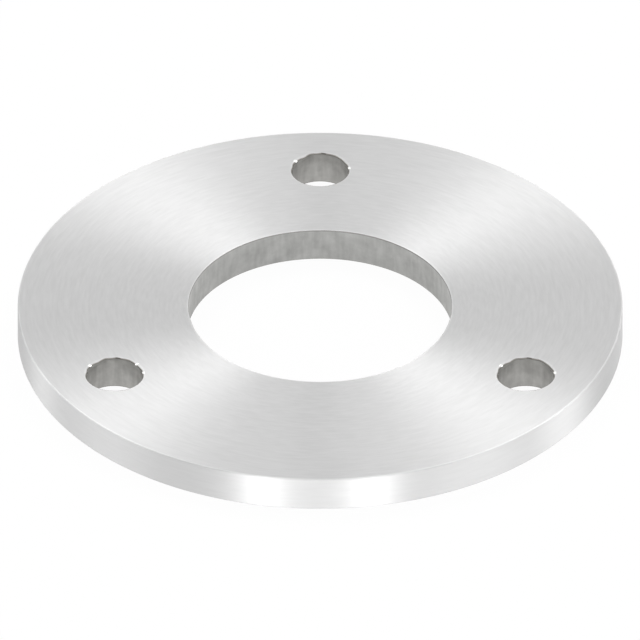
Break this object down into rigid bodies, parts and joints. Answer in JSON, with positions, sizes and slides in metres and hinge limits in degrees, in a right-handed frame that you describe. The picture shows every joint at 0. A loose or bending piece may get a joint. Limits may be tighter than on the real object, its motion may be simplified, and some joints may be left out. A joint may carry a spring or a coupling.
{
  "type": "anchor plate",
  "caption": "Flat round stainless steel anchor plate for a railing post, with a central bore for the tube, bolt holes around it and a circular brushed finish.",
  "frame": {"origin": "centre of the underside, on the axis of the bore, level with the surface that the plate is bolted to", "axes": "+Z along the axis of the bore, away from the surface that the plate is bolted to; +Y from the axis towards one of the bolt holes; +X completes the right-handed set, with the other two bolt holes at 210 and 330 degrees from it"},
  "size_m": [0.1, 0.1, 0.006],
  "materials": {
    "brushed_stainless": "circular brushed faces and rim, plain cut bore and holes"
  },
  "bodies": {
    "root": {"anchor_plate": "brushed_stainless"}
  },
  "joints": []
}
